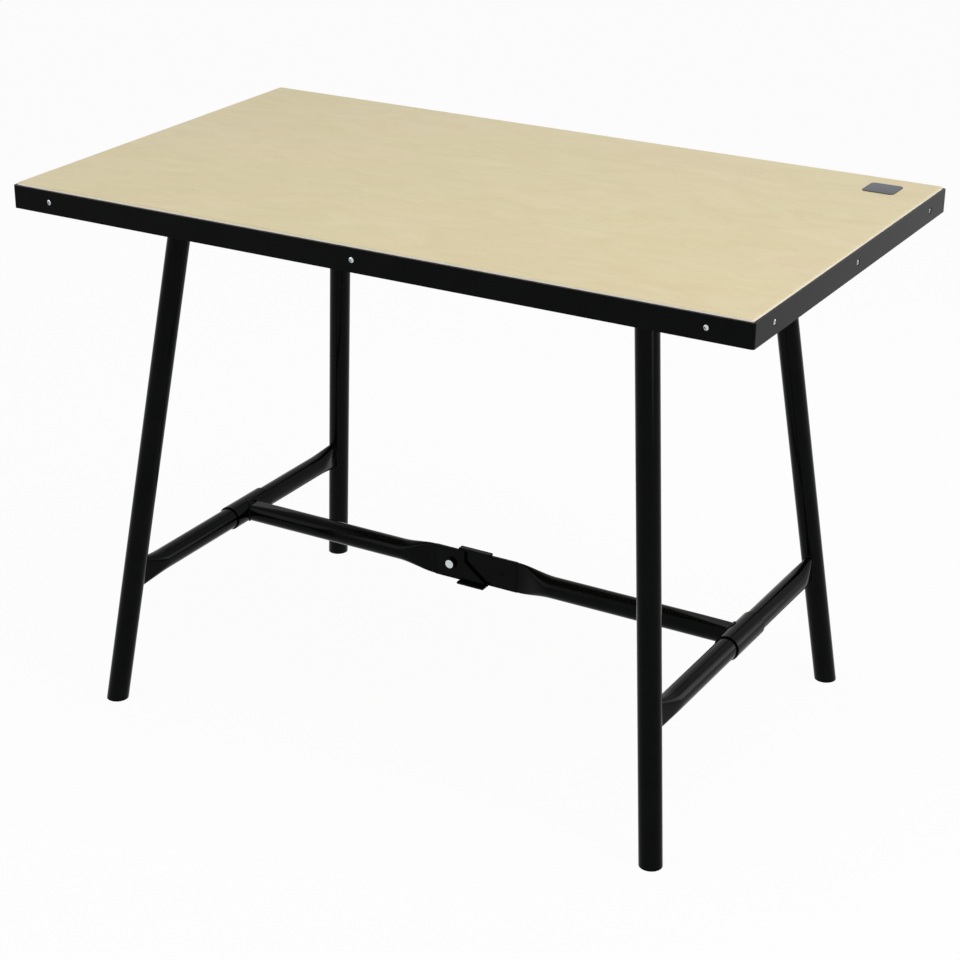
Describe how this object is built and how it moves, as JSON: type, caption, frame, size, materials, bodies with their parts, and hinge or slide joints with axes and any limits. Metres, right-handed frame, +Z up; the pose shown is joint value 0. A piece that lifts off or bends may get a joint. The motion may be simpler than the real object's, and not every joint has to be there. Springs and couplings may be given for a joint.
{
  "type": "folding work table",
  "caption": "Work table with a steel-rimmed plywood top on two splayed tube leg frames, joined low down by a brace that breaks upward to fold the frames together.",
  "frame": {"origin": "on the floor under the middle of the board", "axes": "+X along the length, -Y to the front, +Z up"},
  "size_m": [1.2, 0.7, 0.851],
  "materials": {
    "black_paint": "semi-gloss black paint on steel",
    "plywood": "varnished birch plywood",
    "zinc_steel": "bright zinc plating",
    "black_plastic": "moulded",
    "label": "plain dark plate"
  },
  "bodies": {
    "left_leg_frame": {"left_top_tube": "black_paint", "left_front_leg": "black_paint", "left_rear_leg": "black_paint", "left_front_foot_plug": "black_plastic", "left_rear_foot_plug": "black_plastic", "left_stretcher": "black_paint"},
    "tabletop": {"plywood_board": "plywood", "front_rim": "black_paint", "rear_rim": "black_paint", "left_rim": "black_paint", "right_rim": "black_paint", "left_cross_rail": "black_paint", "right_cross_rail": "black_paint", "rim_screws": "zinc_steel", "bracket_screws": "zinc_steel", "label_plate": "label", "left_front_hinge_clamp": "black_paint", "left_rear_hinge_clamp": "black_paint", "right_front_saddle": "black_paint", "right_rear_saddle": "black_paint"},
    "left_brace": {"left_brace_tube": "black_paint", "left_sleeve": "black_paint", "centre_bolt": "zinc_steel", "centre_nut": "zinc_steel", "bolt_washers": "black_paint"},
    "right_brace": {"right_brace_tube": "black_paint", "right_sleeve": "black_paint"},
    "right_leg_frame": {"right_top_tube": "black_paint", "right_front_leg": "black_paint", "right_rear_leg": "black_paint", "right_front_foot_plug": "black_plastic", "right_rear_foot_plug": "black_plastic", "right_stretcher": "black_paint"}
  },
  "joints": [
    {"name": "top_tilt", "type": "hinge", "parent": "left_leg_frame", "child": "tabletop", "pos_m": [-0.389, 0, 0.79], "axis": [0, -1, 0], "range_deg": [0, 75]},
    {"name": "left_sleeve_turn", "type": "hinge", "parent": "left_leg_frame", "child": "left_brace", "pos_m": [-0.45631, 0.01, 0.212], "axis": [0, -1, 0], "range_deg": [0, 65]},
    {"name": "brace_fold", "type": "hinge", "parent": "left_brace", "child": "right_brace", "pos_m": [-0.048, 0.01, 0.212], "axis": [0, 1, 0], "range_deg": [0, 130]},
    {"name": "right_sleeve_turn", "type": "hinge", "parent": "right_brace", "child": "right_leg_frame", "pos_m": [0.45631, 0.01, 0.212], "axis": [0, -1, 0], "range_deg": [0, 65]}
  ],
  "couplings": [
    {"joint": "left_sleeve_turn", "follows": "brace_fold", "ratio": 0.5},
    {"joint": "right_sleeve_turn", "follows": "brace_fold", "ratio": 0.5}
  ]
}
